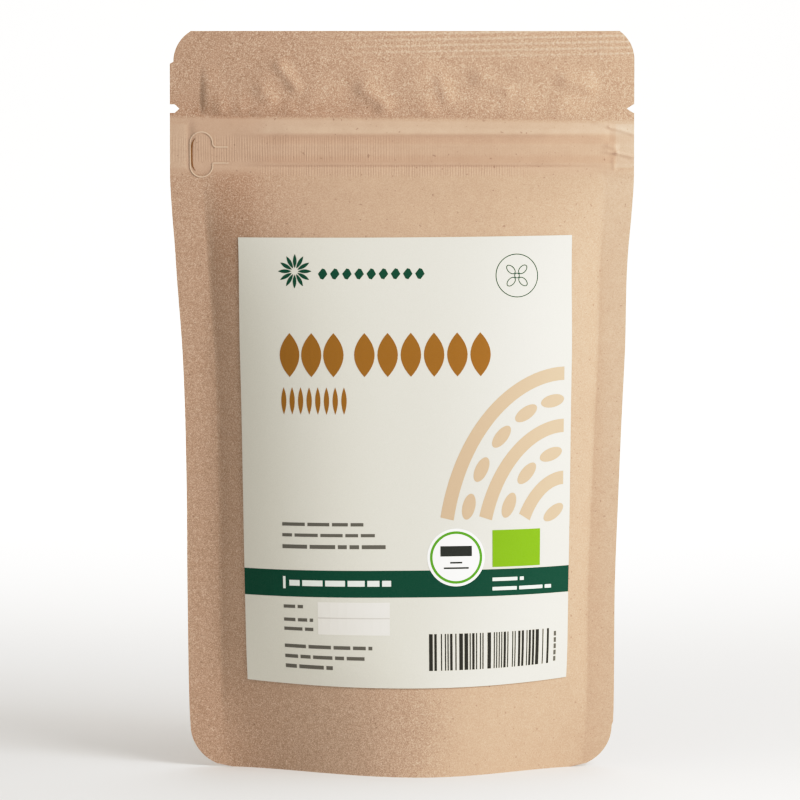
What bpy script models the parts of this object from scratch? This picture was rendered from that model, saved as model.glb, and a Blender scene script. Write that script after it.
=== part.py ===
"""Stand-up pouch of kraft paper, shut and full, with a paper label on its front.

It stands on the lower edges of its front and back walls, which a folded base holds apart.
+Z is up, the label faces -Y, and the origin is on the ground under the middle of the pouch.
"""

import math

import bmesh
import bpy
import numpy as np

MM = 0.001

# The pouch's outline, seen from the front
HEIGHT = 207.0 * MM
TOP_CORNER_RADIUS = 9.9 * MM
TOP_CORNER_DROPS = (8.6 * MM, 8.1 * MM)  # how far below the top edge the left and right arcs are centred
LEFT_CORNER_INSET = 1.0 * MM  # the left corner is cut this much too narrow, with a step below it
LEFT_CORNER_STEP = 0.6 * MM
BASE_CORNER_RADIUS = 11.2 * MM
# Height and half width: the filling draws the sides in
HALF_WIDTHS = (
    (0.0 * MM, 59.0 * MM),
    (20.0 * MM, 59.9 * MM),
    (50.0 * MM, 60.2 * MM),
    (94.0 * MM, 61.2 * MM),
    (123.0 * MM, 62.4 * MM),
    (145.0 * MM, 63.5 * MM),
    (156.0 * MM, 64.4 * MM),
    (167.0 * MM, 65.0 * MM),
    (207.0 * MM, 65.0 * MM),
)
# Height and how far the middle leans to the right
SWAY = (
    (0.0 * MM, 0.0 * MM),
    (48.0 * MM, -0.25 * MM),
    (80.0 * MM, 0.2 * MM),
    (115.0 * MM, 0.5 * MM),
    (142.0 * MM, -0.1 * MM),
    (165.0 * MM, 0.0 * MM),
    (207.0 * MM, 0.0 * MM),
)

# Seals, where front and back wall are one
SEAL_HALF_THICKNESS = 0.35 * MM
SEAL_LEFT = 9.2 * MM
SEAL_RIGHT = 7.8 * MM
TOP_SEAL_FOOT = 198.4 * MM

# The filled body below the zip: height and bulge of one wall, and how square its section is
BODY_TOP = 169.0 * MM
SHOULDER_FOOT = 145.0 * MM
BULGES = (
    (0.0 * MM, 22.0 * MM),
    (20.0 * MM, 19.9 * MM),
    (66.0 * MM, 17.0 * MM),
    (110.0 * MM, 14.8 * MM),
    (130.0 * MM, 12.6 * MM),
    (145.0 * MM, 9.4 * MM),
    (156.0 * MM, 5.6 * MM),
    (164.0 * MM, 2.0 * MM),
    (169.0 * MM, 0.1 * MM),
)
SQUARENESS = ((0.0 * MM, 1.9), (20.0 * MM, 2.0), (66.0 * MM, 2.8), (110.0 * MM, 3.0), (170.0 * MM, 3.4))
# Height and how far right of the middle the foot bulges most
FOOT_SHIFTS = ((0.0 * MM, 5.0 * MM), (14.0 * MM, 8.0 * MM), (34.0 * MM, 4.0 * MM), (60.0 * MM, 0.0 * MM))
FOOT_HOLLOWING = 1.6  # the foot's edge is a cosine to this power
FOOT_TOP = 38.0 * MM

# Press-to-close zip: heights and rise of one wall
ZIP_TOP = 182.6 * MM
ZIP_RELIEF = (
    (169.0 * MM, 0.1 * MM),
    (170.0 * MM, 0.65 * MM),
    (173.6 * MM, 1.0 * MM),
    (175.0 * MM, 1.15 * MM),
    (176.3 * MM, 1.05 * MM),
    (178.2 * MM, 1.45 * MM),
    (180.4 * MM, 0.95 * MM),
    (182.6 * MM, 0.1 * MM),
)
ZIP_LEFT = -59.5 * MM
ZIP_RIGHT = 57.0 * MM
ZIP_END = 3.0 * MM  # length over which the side seals press the zip flat
CHAMBER_BULGE = 0.6 * MM  # between the zip and the top seal
CHAMBER_SQUARENESS = 4
WAVE = 0.5 * MM  # the empty top waves to and fro
WAVE_LENGTH = 90.0 * MM
WAVE_FOOT = 172.0 * MM

# Tear notches
NOTCH_HEIGHT = 185.1 * MM
NOTCH_GAP = 2.7 * MM
NOTCH_LEFT_DEPTH = 2.8 * MM
NOTCH_RIGHT_DEPTH = 1.9 * MM
NOTCH_THROAT = 1.3 * MM  # the left notch is straight this far in

# Hollow under the base
RIM_THICKNESS = 1.3 * MM
RIM_HEIGHT = 3.0 * MM
BASE_CREASE_RISE = 2.2 * MM
NOTCH_CUTTER_REACH = 1.75 * MM
HOLLOW_ENDS = (-33.0 * MM, 39.0 * MM)

# Label
LABEL_WIDTH = 95.4 * MM  # measured along the paper
LABEL_TOP_WIDTH = 93.9 * MM  # the curved shoulder takes up the rest
LABEL_SHOULDER = 115.0 * MM
LABEL_SHIFT = 1.25 * MM
LABEL_BOTTOM = 25.7 * MM
LABEL_TOP = 149.7 * MM
LABEL_TURN = 0.0065  # stuck on a little askew, its right side this steeply higher
LABEL_BOTTOM_BOW = 1.1 * MM  # the middle of the lower edge hangs this much lower
LABEL_TOP_BOW = 0.3 * MM
LABEL_GAP = 0.3 * MM
LABEL_THICKNESS = 0.3 * MM

# How finely the walls are divided
SEAL_COLUMNS = 2
BODY_COLUMNS = 26
CORNER_ROWS = 6
BODY_ROWS = 17
SHOULDER_ROWS = 5
CHAMBER_ROWS = 3
HOLLOW_COLUMNS = 18
LABEL_COLUMNS = 18
LABEL_ROWS = 22
LABEL_SAMPLES = 401  # steps in which the wall's curve is measured
SLOPE_STEP = 0.2 * MM  # over which the wall's slope is measured
SHARP_ANGLE = 40  # degrees

# Colours, as linear values, and roughness
KRAFT = (0.58, 0.39, 0.25)
LABEL_PAPER = (0.83, 0.81, 0.72)
PAPER_ROUGHNESS = 0.85


def along(stations, place):
    """A smooth curve through the stations, which never overshoots them, read at each place."""
    at, value = (np.array(column) for column in zip(*stations))
    step = np.diff(at)
    slope = np.diff(value) / step
    tangent = np.concatenate([slope[:1], np.zeros(len(slope) - 1), slope[-1:]])
    for i in range(1, len(slope)):
        if slope[i - 1] * slope[i] > 0:
            tangent[i] = 2 * slope[i - 1] * slope[i] / (slope[i - 1] + slope[i])
    place = np.clip(place, at[0], at[-1])
    i = np.clip(np.searchsorted(at, place, side="right") - 1, 0, len(step) - 1)
    s = (place - at[i]) / step[i]
    rise = value[i + 1] - value[i]
    start, end = tangent[i] * step[i], tangent[i + 1] * step[i]
    return value[i] + s * (start + s * (3 * rise - 2 * start - end + s * (start + end - 2 * rise)))


def fade(place, start, end):
    """0 before the start, 1 after the end, and smooth between."""
    s = np.clip((place - start) / (end - start), 0.0, 1.0)
    return s * s * (3 - 2 * s)


def cut_edge(z, side):
    """The x of the pouch's cut edge at a height, side -1 on the left and +1 on the right."""
    width = along(HALF_WIDTHS, z)
    corner = HEIGHT - TOP_CORNER_DROPS[0 if side < 0 else 1]
    above = max(z - corner, 0.0)
    width += math.sqrt(TOP_CORNER_RADIUS**2 - above**2) - TOP_CORNER_RADIUS
    if side < 0:
        width -= LEFT_CORNER_INSET * fade(z, corner - LEFT_CORNER_STEP, corner)
    below = max(BASE_CORNER_RADIUS - z, 0.0)
    width += math.sqrt(BASE_CORNER_RADIUS**2 - below**2) - BASE_CORNER_RADIUS
    return along(SWAY, z) + side * width


def body_bulge(x, z):
    """How far the filling pushes a wall out from its seals."""
    width = along(HALF_WIDTHS, z)
    x = x - along(SWAY, z)
    peak = along(FOOT_SHIFTS, z)
    reach = np.where(x < peak, peak + width - SEAL_LEFT, width - SEAL_RIGHT - peak)
    across = np.clip(np.abs(x - peak) / reach, 0.0, 1.0)
    belly = 1 - across ** along(SQUARENESS, z)
    foot = np.cos(across * math.pi / 2) ** FOOT_HOLLOWING
    share = fade(z, 0.0, FOOT_TOP)
    return along(BULGES, z) * (share * belly + (1 - share) * foot)


def wall_depth(x, z):
    """Distance of the outer face of a wall from the pouch's middle plane."""
    zip_length = fade(x, ZIP_LEFT, ZIP_LEFT + ZIP_END) * (1 - fade(x, ZIP_RIGHT - ZIP_END, ZIP_RIGHT))
    zip_rise = np.where((z > BODY_TOP) & (z < ZIP_TOP), along(ZIP_RELIEF, z), 0.0) * zip_length
    up = np.clip((z - ZIP_TOP) / (TOP_SEAL_FOOT - ZIP_TOP), 0.0, 1.0)
    across = np.clip(np.abs(x) / (HALF_WIDTHS[-1][1] - SEAL_LEFT), 0.0, 1.0)
    chamber = CHAMBER_BULGE * np.sin(up * math.pi) * (1 - across**CHAMBER_SQUARENESS)
    body = np.where(z < BODY_TOP, body_bulge(x, z), 0.0)
    return SEAL_HALF_THICKNESS + body + zip_rise + chamber


def wave(x, z):
    """How far the empty top of the pouch leans out of its plane."""
    return WAVE * math.sin(2 * math.pi * x / WAVE_LENGTH) * fade(z, WAVE_FOOT, HEIGHT)


def column_places(z):
    """Where the wall's columns stand at a row: on both seals' edges, and close beside them."""
    left = np.linspace(cut_edge(z, -1), cut_edge(z, -1) + SEAL_LEFT, SEAL_COLUMNS + 1)
    right = np.linspace(cut_edge(z, 1) - SEAL_RIGHT, cut_edge(z, 1), SEAL_COLUMNS + 1)
    turn = np.linspace(-1, 1, BODY_COLUMNS + 1)[1:-1]
    middle = (left[-1] + right[0]) / 2
    inner = middle + (right[0] - left[-1]) / 2 * np.sin(turn * math.pi / 2)
    return np.concatenate([left, inner, right])


def row_heights():
    """The heights of the wall's rows, close together at the corners and on the zip."""
    turn = np.linspace(0, math.pi / 2, CORNER_ROWS + 1)
    base_corner = BASE_CORNER_RADIUS * (1 - np.cos(turn))
    top_drop = TOP_CORNER_DROPS[0]
    top_arc = math.asin(top_drop / TOP_CORNER_RADIUS)
    top_corner = HEIGHT - top_drop + TOP_CORNER_RADIUS * np.sin(turn / turn[-1] * top_arc)
    body = np.linspace(base_corner[-1], SHOULDER_FOOT, BODY_ROWS + 1)[1:]
    shoulder = np.linspace(SHOULDER_FOOT, BODY_TOP, SHOULDER_ROWS + 1)[1:]
    relief = [height for height, rise in ZIP_RELIEF[1:]]
    chamber = np.linspace(ZIP_TOP, top_corner[0] - LEFT_CORNER_STEP, CHAMBER_ROWS + 1)[1:]
    return np.concatenate([base_corner, body, shoulder, relief, chamber, top_corner])


def paper(name, colour):
    """Matt paper of one colour."""
    material = bpy.data.materials.new(name)
    material.use_nodes = True
    shader = material.node_tree.nodes["Principled BSDF"]
    shader.inputs["Base Color"].default_value = (*colour, 1.0)
    shader.inputs["Roughness"].default_value = PAPER_ROUGHNESS
    shader.inputs["Metallic"].default_value = 0.0
    return material


def new_object(name, bm, material=None):
    """A scene object made of the given mesh."""
    mesh = bpy.data.meshes.new(name)
    bm.to_mesh(mesh)
    bm.free()
    thing = bpy.data.objects.new(name, mesh)
    bpy.context.collection.objects.link(thing)
    if material:
        mesh.materials.append(material)
        mesh.shade_smooth()
        mesh.set_sharp_from_angle(angle=math.radians(SHARP_ANGLE))
    return thing


def add_wall(bm, side):
    """One wall of the pouch as a sheet, side -1 for the front and +1 for the back."""
    heights = row_heights()
    columns = 2 * SEAL_COLUMNS + BODY_COLUMNS
    sheet = bmesh.ops.create_grid(bm, x_segments=columns, y_segments=len(heights) - 1, size=1.0)["verts"]
    for index, vertex in enumerate(sheet):
        row, column = divmod(index, columns + 1)
        z = heights[row]
        x = column_places(z)[column]
        vertex.co = (x, side * wall_depth(x, z) + wave(x, z), z)
    return sheet


def pouch_body():
    """Both walls, joined all round along their cut edges."""
    bm = bmesh.new()
    add_wall(bm, -1)
    add_wall(bm, 1)
    bmesh.ops.bridge_loops(bm, edges=[edge for edge in bm.edges if edge.is_boundary])
    bmesh.ops.recalc_face_normals(bm, faces=bm.faces)
    return new_object("pouch", bm, paper("kraft paper", KRAFT))


def prism(name, outline, reach):
    """A flat outline in the plane of the pouch, pushed through it from front to back."""
    bm = bmesh.new()
    face = bm.faces.new([bm.verts.new((x, -reach, z)) for x, z in outline])
    pushed = bmesh.ops.extrude_face_region(bm, geom=[face])["geom"]
    bmesh.ops.translate(
        bm, verts=[item for item in pushed if isinstance(item, bmesh.types.BMVert)], vec=(0, 2 * reach, 0)
    )
    bmesh.ops.recalc_face_normals(bm, faces=bm.faces)
    return new_object(name, bm)


def notch_cutter(name, side, depth, throat):
    """A tear notch's outline, from outside the pouch's edge to its point."""
    edge = along(HALF_WIDTHS, NOTCH_HEIGHT)
    top, bottom = NOTCH_HEIGHT + NOTCH_GAP / 2, NOTCH_HEIGHT - NOTCH_GAP / 2
    outline = [
        (side * (edge + depth), bottom),
        (side * (edge - throat), bottom),
        (side * (edge - depth), NOTCH_HEIGHT),
        (side * (edge - throat), top),
        (side * (edge + depth), top),
    ]
    return prism(name, outline, NOTCH_CUTTER_REACH)


def base_hollow():
    """The space under the base, between the rims of both walls and below the base's crease."""
    bm = bmesh.new()
    turn = np.linspace(-math.pi / 2, math.pi / 2, HOLLOW_COLUMNS + 1)
    middle, reach = sum(HOLLOW_ENDS) / 2, (HOLLOW_ENDS[1] - HOLLOW_ENDS[0]) / 2
    sections = []
    for x in middle + reach * np.sin(turn):
        inside = wall_depth(x, 0.0) - RIM_THICKNESS
        crease = RIM_HEIGHT + BASE_CREASE_RISE
        points = [
            (x, -inside, -RIM_HEIGHT),
            (x, -inside, RIM_HEIGHT),
            (x, 0.0, crease),
            (x, inside, RIM_HEIGHT),
            (x, inside, -RIM_HEIGHT),
        ]
        sections.append([bm.verts.new(point) for point in points])
    for before, after in zip(sections, sections[1:]):
        for i in range(len(before)):
            j = (i + 1) % len(before)
            bm.faces.new([before[i], before[j], after[j], after[i]])
    bm.faces.new(sections[0])
    bm.faces.new(sections[-1])
    bmesh.ops.recalc_face_normals(bm, faces=bm.faces)
    return new_object("base_hollow", bm)


def cut(body, cutter):
    """Cuts one shape out of a body, and keeps the cutter as a hidden outline."""
    cutter.hide_render = True
    cutter.display_type = "WIRE"
    boolean = body.modifiers.new(cutter.name, "BOOLEAN")
    boolean.operation = "DIFFERENCE"
    boolean.solver = "EXACT"
    boolean.object = cutter


def front_point(x, z):
    """A point of the front wall and the direction that it faces."""
    slope_x = (wall_depth(x + SLOPE_STEP, z) - wall_depth(x - SLOPE_STEP, z)) / (2 * SLOPE_STEP)
    slope_z = (wall_depth(x, z + SLOPE_STEP) - wall_depth(x, z - SLOPE_STEP)) / (2 * SLOPE_STEP)
    normal = np.array([-slope_x, -1.0, -slope_z])
    return np.array([x, -wall_depth(x, z), z]), normal / np.linalg.norm(normal)


def paper_place(distance, z):
    """The x of a point of the front wall, this far from the middle along the curved paper."""
    x = np.linspace(-LABEL_WIDTH, LABEL_WIDTH, LABEL_SAMPLES) / 2
    length = np.concatenate([[0.0], np.cumsum(np.hypot(np.diff(x), np.diff(wall_depth(x, z))))])
    return np.interp(distance, length - np.interp(0.0, x, length), x)


def label():
    """The label, a sheet that lies on the front wall's curve."""
    bm = bmesh.new()
    sheet = bmesh.ops.create_grid(bm, x_segments=LABEL_COLUMNS, y_segments=LABEL_ROWS, size=1.0)["verts"]
    for index, vertex in enumerate(sheet):
        row, column = divmod(index, LABEL_COLUMNS + 1)
        across = 2 * column / LABEL_COLUMNS - 1
        bottom = LABEL_BOTTOM - LABEL_BOTTOM_BOW * (1 - across**2)
        top = LABEL_TOP - LABEL_TOP_BOW * (1 - across**2)
        z = bottom + (top - bottom) * row / LABEL_ROWS + LABEL_TURN * across * LABEL_WIDTH / 2
        shift = LABEL_SHIFT + LABEL_TURN * ((LABEL_TOP + LABEL_BOTTOM) / 2 - z)
        width = LABEL_WIDTH + (LABEL_TOP_WIDTH - LABEL_WIDTH) * fade(z, LABEL_SHOULDER, LABEL_TOP)
        x = paper_place(shift + across * width / 2, z)
        point, normal = front_point(x, z)
        vertex.co = point + normal * LABEL_GAP
    thing = new_object("label", bm, paper("label paper", LABEL_PAPER))
    solidify = thing.modifiers.new("thickness", "SOLIDIFY")
    solidify.thickness = LABEL_THICKNESS
    solidify.offset = 1.0
    return thing


def main():
    """Clears the scene and builds the pouch and its label."""
    for thing in list(bpy.data.objects):
        bpy.data.objects.remove(thing)
    pouch = pouch_body()
    cut(pouch, base_hollow())
    cut(pouch, notch_cutter("notch_left", -1, NOTCH_LEFT_DEPTH, NOTCH_THROAT))
    cut(pouch, notch_cutter("notch_right", 1, NOTCH_RIGHT_DEPTH, 0.0))
    label()


main()
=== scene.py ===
"""Looks of a shut stand-up pouch of kraft paper with a printed paper label on its front.

The pouch is three sheets of laminated kraft paper: a front wall, a back wall and a folded base, sealed
together along the sides and the top. A press-to-close zip runs between the walls under the top seal. The
label is a paper sheet stuck on the filled front wall, and its print lies on it as thin films of ink.

Units are metres, +Z is up and the label faces -Y, as in the frame that the script loads.
"""

import logging
import math
import random
from dataclasses import dataclass, field
from enum import Enum

import bpy
import numpy as np
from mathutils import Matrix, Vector, noise

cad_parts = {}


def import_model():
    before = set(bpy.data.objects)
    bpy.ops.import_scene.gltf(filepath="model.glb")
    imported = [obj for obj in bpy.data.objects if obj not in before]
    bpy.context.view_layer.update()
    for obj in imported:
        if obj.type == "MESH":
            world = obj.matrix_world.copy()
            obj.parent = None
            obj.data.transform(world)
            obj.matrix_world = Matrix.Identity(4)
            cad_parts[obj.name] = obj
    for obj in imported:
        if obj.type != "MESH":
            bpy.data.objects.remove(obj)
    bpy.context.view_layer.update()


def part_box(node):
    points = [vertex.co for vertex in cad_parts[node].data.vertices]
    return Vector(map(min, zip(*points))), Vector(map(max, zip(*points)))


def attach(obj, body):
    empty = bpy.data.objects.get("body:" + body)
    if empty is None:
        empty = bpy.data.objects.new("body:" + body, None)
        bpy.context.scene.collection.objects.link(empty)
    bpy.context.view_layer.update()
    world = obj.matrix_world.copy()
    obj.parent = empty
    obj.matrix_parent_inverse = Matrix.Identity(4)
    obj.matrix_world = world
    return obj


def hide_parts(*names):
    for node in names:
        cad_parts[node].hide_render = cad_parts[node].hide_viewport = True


LOG = logging.getLogger("pouch")
MM = 0.001
BODY = "root"
POUCH_NODE = "pouch"
LABEL_NODE = "label"

Stations = tuple[float, ...]
Pairs = tuple[tuple[float, float], ...]


class Side(Enum):
    """The two walls of the pouch, with the sign of the Y that each one faces."""

    FRONT = -1
    BACK = 1


def fade(place: np.ndarray, start: float, end: float) -> np.ndarray:
    """A soft step.

    Args:
        place: Where the step is read.
        start: Where it leaves 0.
        end: Where it reaches 1.

    Returns:
        0 before the start, 1 after the end, and smooth between.
    """
    share = np.clip((np.asarray(place, float) - start) / (end - start), 0.0, 1.0)
    return share * share * (3 - 2 * share)


def stretch(place: np.ndarray, *stations: float) -> np.ndarray:
    """A soft stretch of a height or a width, with its stations in millimetres.

    Args:
        place: Where the stretch is read, in metres.
        stations: Where it leaves 0 and reaches 1 and, if it ends, where it leaves 1 and is 0 again.

    Returns:
        Its strength at each place, from 0 to 1.
    """
    share = fade(place, stations[0] * MM, stations[1] * MM)
    if len(stations) > 2:
        share = share * (1 - fade(place, stations[2] * MM, stations[3] * MM))
    return share


@dataclass(frozen=True)
class Profile:
    """A smooth curve through a few stations, which never overshoots them.

    The stations are pairs in millimetres: a height, and the value there.
    """

    stations: Pairs
    unit: float = MM

    def at(self, height: np.ndarray) -> np.ndarray:
        """The curve's value.

        Args:
            height: Heights in metres.

        Returns:
            The value at each height, in metres where the profile's unit is a millimetre.
        """
        at, value = (np.array(column) for column in zip(*self.stations))
        step = np.diff(at)
        slope = np.diff(value) / step
        tangent = np.concatenate([slope[:1], np.zeros(len(slope) - 1), slope[-1:]])
        same_way = slope[:-1] * slope[1:] > 0
        both = np.where(same_way, slope[:-1] + slope[1:], 1.0)
        tangent[1:-1] = np.where(same_way, 2 * slope[:-1] * slope[1:] / both, 0.0)
        place = np.clip(np.asarray(height, float) / MM, at[0], at[-1])
        i = np.clip(np.searchsorted(at, place, side="right") - 1, 0, len(step) - 1)
        s = (place - at[i]) / step[i]
        rise = value[i + 1] - value[i]
        start, end = tangent[i] * step[i], tangent[i + 1] * step[i]
        found = value[i] + s * (start + s * (3 * rise - 2 * start - end + s * (start + end - 2 * rise)))
        return found * self.unit


@dataclass(frozen=True)
class Wrinkle:
    """A small ridge or crease pressed into a wall, from one point to another, in millimetres."""

    start: tuple[float, float]
    end: tuple[float, float]
    height: float
    width: float

    def rise(self, x: np.ndarray, z: np.ndarray) -> np.ndarray:
        """How much the wrinkle lifts the wall at each place, in metres."""
        start, end = np.array(self.start) * MM, np.array(self.end) * MM
        run = end - start
        share = np.clip(((x - start[0]) * run[0] + (z - start[1]) * run[1]) / (run @ run), 0.0, 1.0)
        away = np.hypot(x - start[0] - share * run[0], z - start[1] - share * run[1])
        return self.height * MM * np.exp(-((away / (self.width * MM)) ** 2))


@dataclass
class PouchForm:
    """The pouch's form as a formula: how far each wall stands from the middle plane, and its cut edge."""

    height: float
    half_width: float
    ply: float = 0.2 * MM
    top_corner_radius: float = 9.9 * MM
    top_corner_drops: tuple[float, float] = (8.6 * MM, 8.1 * MM)
    left_corner_inset: float = 1.0 * MM
    left_corner_step: float = 0.6 * MM
    base_corner_radius: float = 11.2 * MM
    seal_left: float = 9.2 * MM
    seal_right: float = 7.8 * MM
    top_seal_foot: float = 198.4 * MM
    body_top: float = 169.0 * MM
    zip_top: float = 182.6 * MM
    weld_step: float = 0.35 * MM
    weld_top: float = 12.5 * MM
    weld_run: float = 0.4 * MM
    wave_height: float = 0.5 * MM
    wave_length: float = 90.0 * MM
    wave_foot: float = 172.0 * MM
    foot_shifts: Profile = Profile(((0.0, 5.0), (14.0, 8.0), (34.0, 4.0), (60.0, 0.0)))
    foot_top: float = 38.0 * MM
    foot_hollowing: float = 1.6
    notch_height: float = 185.3 * MM
    notch_gap: float = 2.3 * MM
    notch_depths: tuple[float, float] = (2.65 * MM, 2.05 * MM)
    notch_throats: tuple[float, float] = (1.4 * MM, 0.3 * MM)
    half_widths: Profile = Profile((
        (0.0, 59.0), (20.0, 59.9), (50.0, 60.2), (94.0, 61.2), (123.0, 62.4),
        (145.0, 63.5), (156.0, 64.4), (167.0, 65.0), (207.0, 65.0),
    ))
    sway: Profile = Profile((
        (0.0, 0.0), (48.0, -0.25), (80.0, 0.2), (115.0, 0.5), (142.0, -0.1), (165.0, 0.0), (207.0, 0.0),
    ))
    bulges: Profile = Profile((
        (0.0, 22.0), (20.0, 19.9), (66.0, 17.0), (110.0, 14.8), (130.0, 12.6),
        (145.0, 9.4), (156.0, 5.6), (164.0, 2.0), (169.0, 0.1),
    ))
    squareness: Profile = Profile(
        ((0.0, 1.9), (20.0, 2.0), (66.0, 2.8), (110.0, 3.0), (170.0, 3.4)), unit=1.0
    )
    zip_relief: Profile = Profile((
        (169.0, 0.03), (169.7, 0.62), (171.6, 0.8), (174.2, 1.08), (175.0, 1.2), (176.2, 1.14),
        (177.3, 1.3), (178.4, 1.75), (179.6, 1.5), (181.2, 0.62), (182.2, 0.1), (182.6, 0.05),
    ))
    zip_left: Profile = Profile(
        ((-59.5, 0.0), (-57.5, 0.25), (-50.0, 0.3), (-42.0, 0.6), (-32.0, 1.0)), unit=1.0
    )
    zip_right: Profile = Profile(((40.0, 1.0), (50.0, 0.6), (56.0, 0.3), (58.0, 0.0)), unit=1.0)
    zip_lean: float = 0.0119
    lean_run: Stations = (177.5, 181.0, 188.0, 194.0)
    crease_start: Stations = (-46.0, -38.0)
    crease_top: Stations = (170.5, 173.5)
    chamber_relief: Profile = Profile(
        ((182.6, 0.05), (183.6, 0.4), (185.5, 0.9), (187.5, 1.1), (190.0, 0.95), (193.5, 0.6), (198.4, 0.0))
    )
    chamber_width: Stations = (-56.3, -55.1, 45.0, 56.0)
    paper_steps: int = 40
    paper_rounds: int = 5
    wrinkles: tuple[Wrinkle, ...] = ()

    def whole_edge(self, z: np.ndarray, side: int) -> np.ndarray:
        """The x of the cut edge at each height, without the notches; side is -1 or 1, left or right."""
        drop = self.top_corner_drops[0 if side < 0 else 1]
        corner = self.height - drop
        above = np.clip(z - corner, 0.0, drop)
        below = np.clip(self.base_corner_radius - z, 0.0, self.base_corner_radius)
        width = self.half_widths.at(z)
        width = width + np.sqrt(self.top_corner_radius**2 - above**2) - self.top_corner_radius
        width = width + np.sqrt(self.base_corner_radius**2 - below**2) - self.base_corner_radius
        if side < 0:
            width = width - self.left_corner_inset * fade(z, corner - self.left_corner_step, corner)
        else:
            width = width - self.weld_step * (1 - fade(z, self.weld_top - self.weld_run, self.weld_top))
        return self.sway.at(z) + side * width

    def cut_edge(self, z: np.ndarray, side: int) -> np.ndarray:
        """The x of the cut edge at each height, with the tear notch; side is -1 or 1, left or right."""
        at = 0 if side < 0 else 1
        depth, throat = self.notch_depths[at], self.notch_throats[at]
        away = np.abs(z - self.notch_height) / (self.notch_gap / 2)
        notch = np.where(away < 1, throat + (depth - throat) * (1 - away), 0.0)
        return self.whole_edge(z, side) - side * notch

    def seam(self, z: np.ndarray, side: int) -> np.ndarray:
        """The x of a side seal's inner edge at each height."""
        seal = self.seal_left if side < 0 else self.seal_right
        return self.sway.at(z) + side * (self.half_widths.at(z) - seal)

    def body_bulge(self, x: np.ndarray, z: np.ndarray) -> np.ndarray:
        """How far the filling pushes a wall out from its seals."""
        width = self.half_widths.at(z)
        off = x - self.sway.at(z)
        peak = self.foot_shifts.at(z)
        reach = np.where(off < peak, peak + width - self.seal_left, width - self.seal_right - peak)
        across = np.clip(np.abs(off - peak) / reach, 0.0, 1.0)
        belly = 1 - across ** self.squareness.at(z)
        foot = np.cos(across * math.pi / 2) ** self.foot_hollowing
        share = fade(z, 0.0, self.foot_top)
        return self.bulges.at(z) * (share * belly + (1 - share) * foot)

    def depth(self, x: np.ndarray, z: np.ndarray) -> np.ndarray:
        """Distance of a wall's outer face from the middle plane, without its fine relief."""
        upright = z
        z = z + self.zip_lean * x * stretch(z, *self.lean_run)
        in_zip = (z > self.body_top) & (z < self.zip_top)
        low = 1 - stretch(z, *self.crease_top)
        run = self.zip_left.at(x) * self.zip_right.at(x)
        run = run * (1 - low * (1 - stretch(x, *self.crease_start)))
        zip_rise = np.where(in_zip, self.zip_relief.at(z), 0.0) * run
        in_chamber = (z >= self.zip_top) & (z < self.top_seal_foot)
        chamber = np.where(in_chamber, self.chamber_relief.at(z), 0.0) * stretch(x, *self.chamber_width)
        body = np.where(upright < self.body_top, self.body_bulge(x, upright), 0.0)
        return self.ply + body + zip_rise + chamber

    def wave(self, x: np.ndarray, z: np.ndarray) -> np.ndarray:
        """How far the empty top leans out of its plane."""
        turn = 2 * math.pi * x / self.wave_length
        return self.wave_height * np.sin(turn) * fade(z, self.wave_foot, self.height)

    def front(self, x: np.ndarray, z: np.ndarray) -> tuple[np.ndarray, np.ndarray]:
        """Points of the front wall.

        Args:
            x: Where they are across the pouch.
            z: How high they are.

        Returns:
            The points and the directions that the wall faces there, as rows of three.
        """
        step = 0.3 * MM

        def face(at_x: np.ndarray, at_z: np.ndarray) -> np.ndarray:
            """The wall's y at each place."""
            return -self.depth(at_x, at_z) + self.wave(at_x, at_z)

        slope_x = (face(x + step, z) - face(x - step, z)) / (2 * step)
        slope_z = (face(x, z + step) - face(x, z - step)) / (2 * step)
        normal = np.stack([slope_x, -np.ones_like(x), slope_z], axis=-1)
        normal /= np.linalg.norm(normal, axis=-1, keepdims=True)
        return np.stack([x, face(x, z), z], axis=-1), normal

    def paper_x(self, distance: np.ndarray, z: np.ndarray) -> np.ndarray:
        """The x of places on the front wall, each this far from the middle along the curved paper."""
        steps = np.linspace(0.0, 1.0, self.paper_steps + 1)
        x = distance.copy()
        for _ in range(self.paper_rounds):
            run = x[:, None] * steps
            depth = self.depth(run, np.repeat(z[:, None], len(steps), axis=1))
            length = np.hypot(np.diff(run, axis=1), np.diff(depth, axis=1)).sum(axis=1)
            x += distance - np.sign(x) * length
        return x


def linear(hex_colour: str) -> tuple[float, float, float, float]:
    """A colour as the shader takes it.

    Args:
        hex_colour: An sRGB colour such as "c8a27c".

    Returns:
        Its linear red, green and blue, and an alpha of 1.
    """
    values = [int(hex_colour[i : i + 2], 16) / 255 for i in (0, 2, 4)]
    red, green, blue = (v / 12.92 if v <= 0.04045 else ((v + 0.055) / 1.055) ** 2.4 for v in values)
    return red, green, blue, 1.0


def deselect() -> None:
    """Leaves nothing selected and no edit mode open."""
    if bpy.context.object and bpy.context.object.mode != "OBJECT":
        bpy.ops.object.mode_set(mode="OBJECT")
    bpy.ops.object.select_all(action="DESELECT")


def only(piece: bpy.types.Object) -> None:
    """Selects one piece alone and makes it active."""
    deselect()
    piece.select_set(True)
    bpy.context.view_layer.objects.active = piece


def settle(piece: bpy.types.Object, name: str) -> bpy.types.Object:
    """Names a piece and moves its place, turn and scale into its mesh."""
    only(piece)
    bpy.ops.object.transform_apply(location=True, rotation=True, scale=True)
    piece.name = name
    piece.data.name = name
    return piece


def thicken(piece: bpy.types.Object, thickness: float) -> None:
    """Gives a sheet its thickness, behind its face."""
    only(piece)
    solid = piece.modifiers.new("thickness", "SOLIDIFY")
    solid.thickness = thickness
    solid.offset = -1.0
    bpy.ops.object.modifier_apply(modifier=solid.name)


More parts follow.
